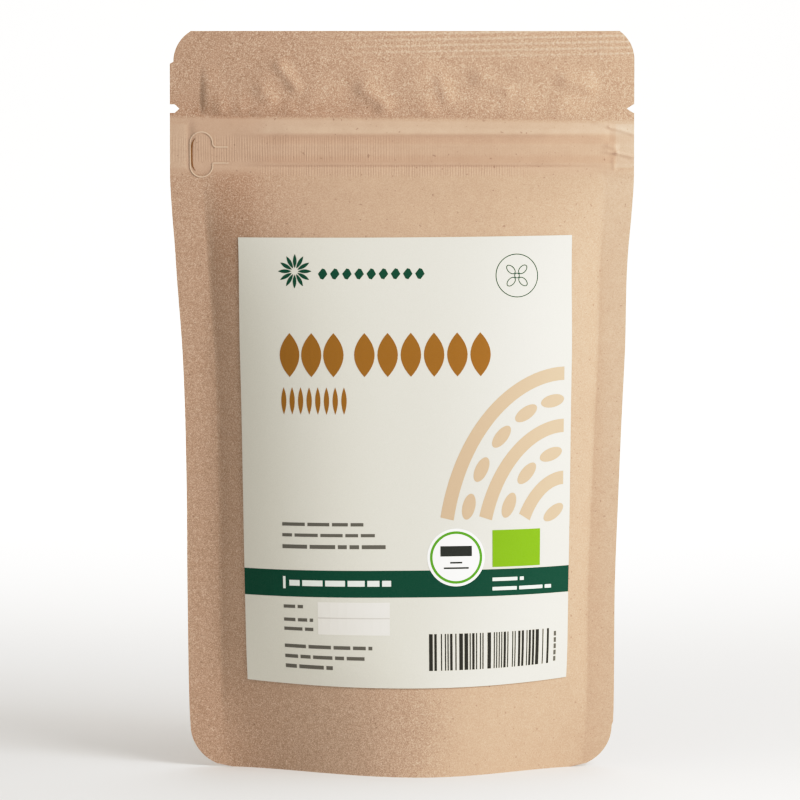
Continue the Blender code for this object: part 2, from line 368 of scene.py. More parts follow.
def turn_over(piece: bpy.types.Object) -> None:
    """Makes a sheet face the other way."""
    only(piece)
    bpy.ops.object.mode_set(mode="EDIT")
    bpy.ops.mesh.select_all(action="SELECT")
    bpy.ops.mesh.flip_normals()
    bpy.ops.object.mode_set(mode="OBJECT")


def smooth(piece: bpy.types.Object, degrees: float) -> None:
    """Shades a piece smooth, but for edges sharper than the angle."""
    only(piece)
    bpy.ops.object.shade_smooth_by_angle(angle=math.radians(degrees))


def make_sheet(piece: bpy.types.Object, thickness: float, finish: bpy.types.Material) -> bpy.types.Object:
    """Makes a surface a sheet of a thickness and a material, shaded smooth."""
    thicken(piece, thickness)
    smooth(piece, 50)
    piece.data.materials.append(finish)
    return piece


def vertices(piece: bpy.types.Object) -> np.ndarray:
    """The places of a piece's vertices, as rows of three."""
    places = np.empty(len(piece.data.vertices) * 3)
    piece.data.vertices.foreach_get("co", places)
    return places.reshape(-1, 3)


def move_vertices(piece: bpy.types.Object, places: np.ndarray) -> None:
    """Puts a piece's vertices at the given places."""
    piece.data.vertices.foreach_set("co", np.asarray(places, float).ravel())
    piece.data.update()


def grid(columns: int, rows: int) -> bpy.types.Object:
    """A flat grid of that many faces across and up, whose vertices run row by row."""
    deselect()
    bpy.ops.mesh.primitive_grid_add(x_subdivisions=columns, y_subdivisions=rows, size=1.0)
    return bpy.context.object


def join(pieces: list[bpy.types.Object]) -> bpy.types.Object:
    """Makes several pieces one mesh."""
    deselect()
    for piece in pieces:
        piece.select_set(True)
    bpy.context.view_layer.objects.active = pieces[0]
    if len(pieces) > 1:
        bpy.ops.object.join()
    return pieces[0]


class Graph:
    """The node graph of a material whose only shader is a Principled BSDF."""

    def __init__(self, name: str) -> None:
        """Starts the material's graph with its shader and its output."""
        self.material = bpy.data.materials.new(name)
        self.material.use_nodes = True
        self.tree = self.material.node_tree
        self.shader = self.tree.nodes["Principled BSDF"]

    def add(self, kind: str, inputs: dict | None = None, **settings: object) -> bpy.types.Node:
        """Adds a node.

        Args:
            kind: The node's type.
            inputs: For each input, by name or number, a value or another node's output to link to it.
            settings: The node's own settings.

        Returns:
            The node.
        """
        node = self.tree.nodes.new(kind)
        for name, value in settings.items():
            setattr(node, name, value)
        for name, value in (inputs or {}).items():
            self.put(node, name, value)
        return node

    def put(self, node: bpy.types.Node, name: str | int, value: object) -> None:
        """Sets a node's input to a value, or links another node's output to it."""
        if isinstance(value, bpy.types.NodeSocket):
            self.tree.links.new(value, node.inputs[name])
        else:
            node.inputs[name].default_value = value

    def noise(self, place: bpy.types.NodeSocket, size: float, detail: float = 2.0) -> bpy.types.NodeSocket:
        """Cloudy noise from 0 to 1, whose lumps are about the given size in metres."""
        inputs = {"Vector": place, "Scale": 1 / size, "Detail": detail, "Roughness": 0.55}
        return self.add("ShaderNodeTexNoise", inputs).outputs["Fac"]

    def between(self, value: bpy.types.NodeSocket, low: float, high: float) -> bpy.types.NodeSocket:
        """Stretches a value so that low becomes 0 and high becomes 1, and clips it there."""
        inputs = {"Value": value, "From Min": low, "From Max": high}
        return self.add("ShaderNodeMapRange", inputs, clamp=True).outputs["Result"]

    def sums(self, operation: str, *values: object) -> bpy.types.NodeSocket:
        """Arithmetic on one to three values."""
        return self.add("ShaderNodeMath", dict(enumerate(values)), operation=operation).outputs[0]

    def times(self, *values: object) -> bpy.types.NodeSocket:
        """The product of two values."""
        return self.sums("MULTIPLY", *values)

    def mix(self, share: object, under: object, over: object) -> bpy.types.NodeSocket:
        """Lays one colour over another by a share from 0 to 1."""
        node = self.add("ShaderNodeMix", data_type="RGBA")
        for socket, value in ((0, share), (6, under), (7, over)):
            self.put(node, socket, value)
        return node.outputs[2]

    def mark(self, name: str) -> bpy.types.NodeSocket:
        """How strongly the mesh carries a surface mark, from 0 to 1."""
        return self.add("ShaderNodeAttribute", attribute_name=name).outputs["Fac"]

    def stripes(self, place: object, pitch: float) -> bpy.types.NodeSocket:
        """Even stripes along one axis that rise from 0 to 1 and fall again over each pitch."""
        turn = self.times(place, 2 * math.pi / pitch)
        return self.sums("MULTIPLY_ADD", self.sums("COSINE", turn), 0.5, 0.5)

    def finish(
        self,
        colour: object,
        roughness: object,
        bump: bpy.types.NodeSocket | None = None,
        height: float = MM,
        gloss: float = 0.5,
    ) -> None:
        """Links the shader's inputs.

        Args:
            colour: Base colour.
            roughness: Roughness, as a number or an output.
            bump: The surface's height, or None where it is smooth.
            height: What a bump of 1 measures, in metres.
            gloss: How much light the surface's skin reflects, 0.5 being that of common plastics.
        """
        self.put(self.shader, "Base Color", colour)
        self.put(self.shader, "Roughness", roughness)
        self.put(self.shader, "Specular IOR Level", gloss)
        if bump is not None:
            inputs = {"Height": bump, "Distance": height, "Strength": 1.0}
            self.put(self.shader, "Normal", self.add("ShaderNodeBump", inputs).outputs["Normal"])


@dataclass(frozen=True)
class KraftPaper:
    """Unbleached kraft paper, calendered and laminated: brown, matt, with a short mottled grain of fibres.

    The eye gets light and dark flecks a third of a millimetre across, a few dark specks of bark, and hardly
    any gloss. Where the zip's tape is welded behind it, the paper is ironed smooth and looks a little paler.
    The top seal carries the seal bar's dashed ribs, their crests painted paler as a painted highlight, and
    the zip's tape fine upright ticks. Marks on the mesh paint shade in a darker brown and highlights in the
    pale fleck colour.
    """

    name: str = "unbleached kraft paper"
    colour: str = "bb9e85"
    dark_fleck: str = "85674c"
    # the pale flecks' colour, also the colour of the painted highlights
    light_fleck_and_highlight: str = "dcc7b2"
    # painted shade: the darker, warmer brown that the shaded parts are painted with
    painted_shade_colour: str = "9c6f50"
    bark: str = "67462c"
    ironed: str = "bc9e86"
    roughness: float = 0.82
    sheen: float = 0.25
    fleck: float = 0.42 * MM
    dust: float = 0.24 * MM
    cloud: float = 3.5 * MM
    patch: float = 14.0 * MM
    rib_pitch: float = 1.66 * MM
    rib_slope: float = 0.0197
    rib_start: float = 202.75 * MM
    dash_pitch: float = 1.5 * MM
    rib_height: float = 0.12
    tick_pitch: float = 0.72 * MM
    tick_shrink: float = 0.12
    tick_height: float = 0.1
    tick_waver: float = 1.2 * MM
    tick_drift: float = 2.5 * MM
    tick_gaps: float = 1.6 * MM
    grain_height: float = 0.035
    ironing: float = 0.6
    cloud_share: float = 0.09
    speck: float = 0.75 * MM
    speck_share: float = 0.45
    rib_painted_highlight: float = 0.4

    def ribs(self, graph: Graph, axes: bpy.types.NodeOutputs) -> bpy.types.NodeSocket:
        """The seal bar's ribs: slightly slanted dashed lines, from 0 to 1."""
        tilted = graph.sums("MULTIPLY_ADD", axes["X"], -self.rib_slope, axes["Z"])
        rib = graph.stripes(graph.sums("SUBTRACT", tilted, self.rib_start), self.rib_pitch)
        dash = graph.sums("MULTIPLY_ADD", graph.stripes(axes["X"], self.dash_pitch), 0.55, 0.45)
        return graph.times(graph.times(graph.sums("POWER", rib, 2.5), dash), graph.mark("crimp"))

    def ticks(self, graph: Graph, axes: bpy.types.NodeOutputs) -> bpy.types.NodeSocket:
        """The tape's ticks: upright lines that waver and fade by chance, from 0 to 1."""
        squeezed = {"X": axes["X"], "Z": graph.times(axes["Z"], self.tick_shrink)}
        upright = graph.add("ShaderNodeCombineXYZ", squeezed).outputs[0]
        drift = graph.noise(upright, self.tick_drift, 1.0)
        unsteady = graph.sums("MULTIPLY_ADD", drift, self.tick_waver, axes["X"])
        lines = graph.stripes(unsteady, self.tick_pitch)
        return graph.times(graph.times(lines, graph.noise(upright, self.tick_gaps, 1.0)), graph.mark("knurl"))

    def build(self) -> bpy.types.Material:
        """Makes the material."""
        graph = Graph(self.name)
        place = graph.add("ShaderNodeTexCoord").outputs["Object"]
        axes = graph.add("ShaderNodeSeparateXYZ", {0: place}).outputs
        ironed = graph.mark("ironed")
        loose = graph.sums("SUBTRACT", 1.0, graph.times(ironed, self.ironing))
        strength = graph.times(graph.mark("mottle"), loose)
        fleck = graph.noise(place, self.fleck, 2.0)
        dust = graph.noise(place, self.dust, 1.0)
        base = graph.mix(ironed, linear(self.colour), linear(self.ironed))
        # painted shade, mixed in where the mesh's mark asks for it
        base = graph.mix(graph.mark("painted_shade"), base, linear(self.painted_shade_colour))
        # painted highlight on the tape's ridge and the right seal, and the paler crushed zip ends
        base = graph.mix(graph.mark("pressed_and_painted_light"), base, linear(self.light_fleck_and_highlight))
        cloud, patch = (graph.noise(place, size, 2.0) for size in (self.cloud, self.patch))
        clouds = graph.sums("ADD", graph.between(cloud, 0.25, 0.75), graph.between(patch, 0.25, 0.75))
        base = graph.mix(graph.times(clouds, self.cloud_share), base, linear(self.dark_fleck))
        for grain, low, high, colour, share in (
            (fleck, 0.5, 0.75, self.dark_fleck, 0.5),
            (fleck, 0.5, 0.25, self.light_fleck_and_highlight, 0.5),
            (dust, 0.5, 0.78, self.dark_fleck, 0.8),
            (dust, 0.5, 0.22, self.light_fleck_and_highlight, 0.8),
        ):
            amount = graph.times(graph.between(grain, low, high), graph.times(strength, share))
            base = graph.mix(amount, base, linear(colour))
        speck = graph.between(graph.noise(place, self.speck, 0.0), 0.78, 0.85)
        base = graph.mix(graph.times(speck, self.speck_share), base, linear(self.bark))
        rib = self.ribs(graph, axes)
        # painted highlight: the ribs' crests painted paler, as if lit from above
        base = graph.mix(graph.times(rib, self.rib_painted_highlight), base, linear(self.light_fleck_and_highlight))
        height = graph.times(graph.sums("ADD", fleck, dust), graph.times(strength, self.grain_height))
        height = graph.sums("MULTIPLY_ADD", rib, self.rib_height, height)
        height = graph.sums("MULTIPLY_ADD", self.ticks(graph, axes), self.tick_height, height)
        graph.finish(base, self.roughness, height, MM, self.sheen)
        return graph.material


@dataclass(frozen=True)
class CutEdgeAndShadow:
    """The raw edge of the laminate where the die cut it: a warm brown, since no surface fibres cover it, made
    darker as painted shadow in the slit beside the tab.
    """

    name: str = "raw cut edge of kraft laminate and painted shadow"
    colour: str = "8f6237"
    shade: str = "744a26"
    roughness: float = 0.9
    grain: float = 0.3 * MM

    def build(self) -> bpy.types.Material:
        """Makes the material."""
        graph = Graph(self.name)
        place = graph.add("ShaderNodeTexCoord").outputs["Object"]
        grain = graph.noise(place, self.grain, 2.0)
        colour = graph.mix(graph.between(grain, 0.3, 0.7), linear(self.colour), linear(self.shade))
        graph.finish(colour, self.roughness, grain, 0.02 * MM, 0.2)
        return graph.material


@dataclass(frozen=True)
class LabelStock:
    """Coated label paper, off-white: smooth and matt, with a faint tooth that only takes the gloss away."""

    name: str = "matt coated label paper"
    colour: str = "d3d1c6"
    shade: str = "cdcbc0"
    roughness: float = 0.6
    gloss: float = 0.25
    tooth: float = 0.25 * MM
    tooth_height: float = 0.004 * MM

    def build(self) -> bpy.types.Material:
        """Makes the material."""
        graph = Graph(self.name)
        place = graph.add("ShaderNodeTexCoord").outputs["Object"]
        tooth = graph.noise(place, self.tooth, 2.0)
        colour = graph.mix(graph.between(tooth, 0.3, 0.7), linear(self.colour), linear(self.shade))
        graph.finish(colour, self.roughness, tooth, self.tooth_height, self.gloss)
        return graph.material


@dataclass(frozen=True)
class Ink:
    """Offset printing ink on label paper: an even, satin film, a touch uneven where the paper drinks it."""

    name: str
    colour: str
    roughness: float = 0.6
    gloss: float = 0.05
    paper: str = "ecebdf"
    unevenness: float = 0.008
    grain: float = 0.3 * MM

    def build(self) -> bpy.types.Material:
        """Makes the material."""
        graph = Graph(f"printing ink, {self.name}")
        place = graph.add("ShaderNodeTexCoord").outputs["Object"]
        grain = graph.noise(place, self.grain, 2.0)
        share = graph.times(graph.between(grain, 0.3, 0.7), self.unevenness)
        colour = graph.mix(share, linear(self.colour), linear(self.paper))
        graph.finish(colour, self.roughness, gloss=self.gloss)
        return graph.material


@dataclass(frozen=True)
class PaperMarks:
    """How strongly a wall's paper carries each of its marks at given places, from 0 to 1.

    Stretches are in millimetres. The zip's tape leans a little, so what follows its upper edge reads the
    leaning height.
    """

    x: np.ndarray
    z: np.ndarray
    leaning: np.ndarray

    def tape(self) -> np.ndarray:
        """Over the zip's tape, which irons the paper."""
        return stretch(self.z, 165.5, 169.0) * (1 - stretch(self.leaning, 181.7, 182.5))

    def chamber(self) -> np.ndarray:
        """Above the zip, where the pouch is empty."""
        return stretch(self.leaning, 182.2, 183.2)

    def body(self) -> np.ndarray:
        """Below the zip."""
        return (1 - self.tape()) * (1 - self.chamber())

    def left(self) -> np.ndarray:
        """On the left flank, off the tape."""
        return (1 - stretch(self.x, -50.0, -16.0)) * (1 - self.tape())

    def foot(self) -> np.ndarray:
        """Along the left half of the foot."""
        return (1 - stretch(self.z, 18.0, 32.0)) * (1 - stretch(self.x, 2.0, 18.0))

    def ironed(self) -> np.ndarray:
        """Ironed smooth, less so where the side seals crush the zip's ends."""
        return self.tape() * (1 - 0.35 * stretch(np.abs(self.x), 59.5, 60.5))

    def mottle(self) -> np.ndarray:
        """How rough the grain of fibres is: most in the chamber, then on the foot and the left flank."""
        chamber = self.chamber() * (1 - 0.3 * stretch(self.x, 0.0, 60.0))
        return 0.3 + 0.7 * np.maximum(chamber, np.maximum(0.8 * self.left(), 0.85 * self.foot()))

    def painted_shade(self) -> np.ndarray:
        """Painted shade, in a darker and warmer brown: the left flank and the hollow beside its seal, the
        left foot, the chamber and its foot, and two crease lines along the tape.
        """
        across = stretch(self.x, -60.0, 60.0)
        # painted shade in the hollow on the bulge's shaded side
        hollow = stretch(self.x, -54.0, -51.5, -46.0, -36.0) * self.body() * stretch(self.z, 120.0, 150.0)
        # painted shade in two creases along the tape, left out over the tape's middle
        middle = stretch(self.z, 171.6, 172.8, 175.0, 175.9)
        lines = stretch(self.z, 169.8, 170.3, 177.2, 178.2) * (1 - 0.9 * middle)
        # painted shade where the chamber's foot faces down
        chamber_foot = stretch(self.leaning, 182.3, 183.0) * (1 - stretch(self.z, 184.0, 191.0))
        chamber_foot = chamber_foot * (1 - across)
        # painted shade on the left flank, in the chamber and on the left foot
        share = 0.35 * self.left() * (1 - self.chamber()) + self.chamber() * (0.42 - 0.18 * across)
        share = share + 0.1 * self.foot() + 0.3 * hollow + 0.26 * chamber_foot
        return np.clip(share + 0.17 * stretch(self.x, -44.0, -36.0) * lines, 0.0, 1.0)

    def pressed_and_painted_light(self) -> np.ndarray:
        """Paler: a painted highlight on the ridge over the tape's upper edge and on the right seal, and the
        zip's crushed ends, which are pressed paler.
        """
        # painted highlight along the ridge's upper face
        ridge = stretch(self.z, 177.8, 178.9) * (1 - stretch(self.leaning, 181.5, 182.3))
        ridge = ridge * stretch(self.x, -44.0, -36.0)
        ends = 0.28 * stretch(self.x, 59.3, 60.3) + 0.12 * (1 - stretch(self.x, -60.4, -60.1))
        ends = ends * stretch(self.z, 168.6, 169.0, 180.8, 181.2)
        # painted light on the right seal
        seal = stretch(self.x, 54.0, 58.0) * self.body() * (0.4 + 0.6 * stretch(self.z, 35.0, 75.0))
        return np.clip(0.2 * ridge + ends + 0.15 * seal, 0.0, 1.0)

    def crimp(self) -> np.ndarray:
        """Pressed by the seal bar's ribs, along the top edge."""
        return stretch(self.z, 199.0, 200.6) * stretch(self.x, -48.0, 26.0)

    def knurl(self) -> np.ndarray:
        """Pressed by the ticks: a tall row on the tape, and a short one below the crease."""
        upper = stretch(self.z, 170.3, 170.8, 176.8, 178.4) * (1 - 0.8 * stretch(self.x, -20.0, 20.0))
        upper = upper * np.where(self.x < -53 * MM, 0.7, 1.0)
        lower = stretch(self.z, 165.2, 167.5, 169.3, 169.8) * stretch(self.x, -42.0, -38.0, 25.0, 42.0)
        return np.clip(upper + lower, 0.0, 1.0)

    def write(self, mesh: bpy.types.Mesh) -> None:
        """Writes the marks that the paper's material reads on the mesh's vertices, each under its name."""
        for mark in (self.ironed, self.mottle, self.painted_shade, self.pressed_and_painted_light, self.crimp, self.knurl):
            layer = mesh.attributes.new(mark.__name__, "FLOAT", "POINT")
            layer.data.foreach_set("value", mark().ravel().astype(np.float32))


@dataclass
class PouchWalls:
    """The front wall, the back wall and the folded base, each a thin sheet of kraft paper."""

    form: PouchForm
    finish: bpy.types.Material
    column_step: float = 1.05 * MM
    seal_columns: int = 19
    ripple_height: float = 0.16 * MM
    ripple_size: float = 17.0 * MM
    filled: Stations = (1.0, 12.0, 163.0, 169.0)
    lump_height: float = 0.75 * MM
    lump_size: float = 10.0 * MM
    lump_offset: float = 1.3
    empty: Stations = (182.6, 184.6, 196.0, 202.0)
    seam_ease: float = 6.0 * MM
    pucker_height: float = 0.4 * MM
    pucker_squeeze: tuple[float, float] = (2.4, 0.7)
    pucker_top: Stations = (184.0, 193.0)
    seam_crease: float = 0.14 * MM
    seam_crease_width: float = 0.55 * MM
    seam_crease_inset: float = 0.4 * MM
    seam_crease_run: Stations = (24.0, 60.0, 166.0, 168.0)
    weld_rise: float = 0.13 * MM
    weld_edge: Stations = (55.7, 56.0)
    weld_foot: Stations = (186.0, 189.0)
    crushed_rise: float = 0.12 * MM
    crushed_end: Stations = (-60.4, -60.1)
    crushed_run: Stations = (167.9, 168.3, 180.9, 181.2)
    base_columns: int = 70
    base_rows: int = 28
    base_width: float = 0.86
    rim_height: float = 3.2 * MM
    rim_foot: float = 0.5 * MM
    rim_start: float = 0.82
    crease_rise: float = 2.6 * MM
    zones: Pairs = (
        (0.0, 0.9), (11.2, 0.6), (13.4, 1.5), (160.0, 0.55), (168.4, 0.28),
        (183.8, 0.32), (186.8, 0.55), (198.4, 0.75), (207.0, 0.0),
    )

    def heights(self) -> np.ndarray:
        """The heights of a wall's rows: close together on the zip, and in pairs at the notches' lips."""
        form = self.form
        rows = [np.array([0.0])]
        for (low, step), (high, _) in zip(self.zones, self.zones[1:]):
            count = max(1, round((high - low) / step))
            rows.append(np.linspace(low, high, count + 1)[1:] * MM)
        heights = np.concatenate(rows)
        heights = heights * form.height / heights[-1]
        lip, pair, apart = form.notch_gap / 2, 0.02 * MM, 0.15 * MM
        sharp = [form.notch_height + side * lip + step for side in (-1, 1) for step in (-pair, pair)]
        sharp = np.array([*sharp, form.notch_height])
        far = np.abs(heights[:, None] - sharp).min(axis=1) > apart
        return np.sort(np.concatenate([heights[far], sharp]))

    def columns(self, z: np.ndarray) -> np.ndarray:
        """The x of each column at each row, with a column on the inner edge of both side seals."""
        form = self.form
        left, right = form.cut_edge(z, -1), form.cut_edge(z, 1)
        least = 0.6 * MM
        seam_left = np.maximum(form.seam(z, -1), form.whole_edge(z, -1) + least)
        seam_right = np.minimum(form.seam(z, 1), form.whole_edge(z, 1) - least)
        side = np.linspace(0.0, 1.0, self.seal_columns + 1)
        count = round(2 * (form.half_width - form.seal_left) / self.column_step)
        middle = np.linspace(0.0, 1.0, count + 1)[1:-1]
        parts = [
            left[:, None] + (seam_left - left)[:, None] * side,
            seam_left[:, None] + (seam_right - seam_left)[:, None] * middle,
            seam_right[:, None] + (right - seam_right)[:, None] * side,
        ]
        return np.concatenate(parts, axis=1)

    def lumps(self, x: np.ndarray, z: np.ndarray, size: float, side: Side) -> np.ndarray:
        """Soft random swells of the given size, between -1 and 1 and different on each wall."""
        offset = side.value * self.lump_offset
        found = [noise.noise(Vector((a, offset, b)) / size) for a, b in zip(x.ravel(), z.ravel())]
        return np.array(found).reshape(x.shape)

    def fine_relief(self, x: np.ndarray, z: np.ndarray, side: Side) -> np.ndarray:
        """What the sealing bars and the filling press into a wall: creases, wrinkles and soft swells."""
        form = self.form
        relief = np.zeros_like(x)
        for wrinkle in form.wrinkles if side is Side.FRONT else ():
            relief = relief + wrinkle.rise(x, z)
        seam_left, seam_right = form.seam(z, -1), form.seam(z, 1)
        inside = fade(np.minimum(x - seam_left, seam_right - x), 0.0, self.seam_ease)
        filled = inside * stretch(z, *self.filled)
        relief = relief + self.ripple_height * self.lumps(x, z, self.ripple_size, side) * filled
        empty = inside * stretch(z, *self.empty)
        relief = relief + self.lump_height * self.lumps(x, z, self.lump_size, side) * empty
        away = (x - seam_right + self.seam_crease_inset) / self.seam_crease_width
        relief = relief - self.seam_crease * np.exp(-(away**2)) * stretch(z, *self.seam_crease_run)
        relief = relief + self.weld_rise * stretch(x, *self.weld_edge) * stretch(z, *self.weld_foot)
        tight, tall = self.pucker_squeeze
        puckers = self.lumps(tight * x, tall * z, self.lump_size, side) * empty
        relief = relief + self.pucker_height * puckers * (1 - stretch(z, *self.pucker_top))
        crushed = stretch(z, *self.crushed_run) * (1 - stretch(x, *self.crushed_end))
        return relief + self.crushed_rise * crushed

    def wall(self, name: str, side: Side) -> bpy.types.Object:
        """One wall, from its foot to the top edge.

        Args:
            name: The piece's name.
            side: Which of the two walls it is.

        Returns:
            The finished piece.
        """
        form = self.form
        heights = self.heights()
        x = self.columns(heights)
        z = np.repeat(heights[:, None], x.shape[1], axis=1)
        piece = grid(x.shape[1] - 1, x.shape[0] - 1)
        depth = form.depth(x, z) + self.fine_relief(x, z, side)
        depth = np.maximum(depth, form.ply)
        places = np.stack([x, side.value * depth + form.wave(x, z), z], axis=-1).reshape(-1, 3)
        settle(piece, name)
        move_vertices(piece, places)
        PaperMarks(x, z, z + form.zip_lean * x).write(piece.data)
        if side is Side.BACK:
            turn_over(piece)
        return make_sheet(piece, form.ply * 0.9, self.finish)

    def base(self) -> bpy.types.Object:
        """The folded base between the walls' feet, creased along its middle."""
        form = self.form
        turn = np.linspace(-1, 1, self.base_columns + 1)
        left, right = form.seam(np.zeros(1), -1)[0], form.seam(np.zeros(1), 1)[0]
        across = (left + right) / 2 + (right - left) / 2 * self.base_width * np.sin(turn * math.pi / 2)
        x, q = np.meshgrid(across, np.linspace(-1, 1, self.base_rows + 1))
        off = np.abs(q)
        down = fade(off, self.rim_start, 1.0)
        rise = self.crease_rise * (1 - np.clip(off / self.rim_start, 0.0, 1.0)) ** 0.8
        z = self.rim_height * (1 - down) + self.rim_foot * down + rise
        room = form.depth(x, z) - 1.3 * form.ply
        y = np.sign(q) * room * np.minimum(off / self.rim_start, 1.0)
        piece = settle(grid(x.shape[1] - 1, x.shape[0] - 1), "pouch_base")
        move_vertices(piece, np.stack([x, y, z], axis=-1).reshape(-1, 3))
        turn_over(piece)
        return make_sheet(piece, form.ply * 0.6, self.finish)

    def build(self) -> list[bpy.types.Object]:
        """Makes the walls and the base."""
        walls = [self.wall("pouch_front_wall", Side.FRONT), self.wall("pouch_back_wall", Side.BACK)]
        return [*walls, self.base()]


@dataclass
class PaperLabel:
    """The label: a sheet of coated paper on the front wall's curve. Its own places are u across and v up."""

    form: PouchForm
    finish: bpy.types.Material
    width: float = 95.4 * MM
    top_width: float = 93.9 * MM
    shoulder: float = 115.0 * MM
    shift: float = 1.25 * MM
    bottom: float = 25.7 * MM
    top: float = 149.7 * MM
    turn: float = 0.0065
    bottom_bow: float = 1.1 * MM
    top_bow: float = 0.3 * MM
    bow_height: float = 27.0 * MM
    thickness: float = 0.16 * MM
    gap: float = 0.25 * MM
    columns: int = 84
    rows: int = 104

    @property
    def height(self) -> float:
        """The label's height, as seen from the front."""
        return self.top - self.bottom

    def place(self, u: np.ndarray, v: np.ndarray, lift: float) -> np.ndarray:
        """Where places on the label lie in space.

        Args:
            u: Distances to the right of the label's middle, along the paper.
            v: Heights above its lower edge.
            lift: How far above the paper's face they are.

        Returns:
            The points, as rows of three.
        """
        across = u / (self.width / 2)
        hollow = 1 - across**2
        z = self.bottom + v + self.turn * u
        z = z - self.bottom_bow * hollow * (1 - fade(v, 0.0, self.bow_height))
        z = z - self.top_bow * hollow * fade(v, self.height - self.bow_height, self.height)
        shift = self.shift + self.turn * ((self.top + self.bottom) / 2 - z)
        width = self.width + (self.top_width - self.width) * fade(z, self.shoulder, self.top)
        x = self.form.paper_x(shift + across * width / 2, z)
        point, normal = self.form.front(x, z)
        return point + normal * (self.gap + self.thickness + lift)

    def build(self) -> list[bpy.types.Object]:
        """Makes the label's sheet."""
        piece = settle(grid(self.columns, self.rows), "label_sheet")
        flat = vertices(piece)
        u, v = flat[:, 0] * self.width, (flat[:, 1] + 0.5) * self.height
        move_vertices(piece, self.place(u, v, 0.0))
        return [make_sheet(piece, self.thickness, self.finish)]


def leaf_outline(length: float, width: float) -> list[tuple[float, float]]:
    """The outline of an upright leaf, pointed at both ends.

    Args:
        length: From point to point.
        width: Across its middle.

    Returns:
        Points round the outline, with the origin at the lower point.
    """
    right = [(2 * width * s * (1 - s), length * s) for s in np.linspace(0, 1, 13)]
    return right + [(-x, y) for x, y in reversed(right[1:-1])]


def oval_outline(length: float, width: float) -> list[tuple[float, float]]:
    """The outline of an upright oval about the origin."""
    turns = np.linspace(0, 2 * math.pi, 28, endpoint=False)
    return [(width / 2 * math.cos(a), length / 2 * math.sin(a)) for a in turns]


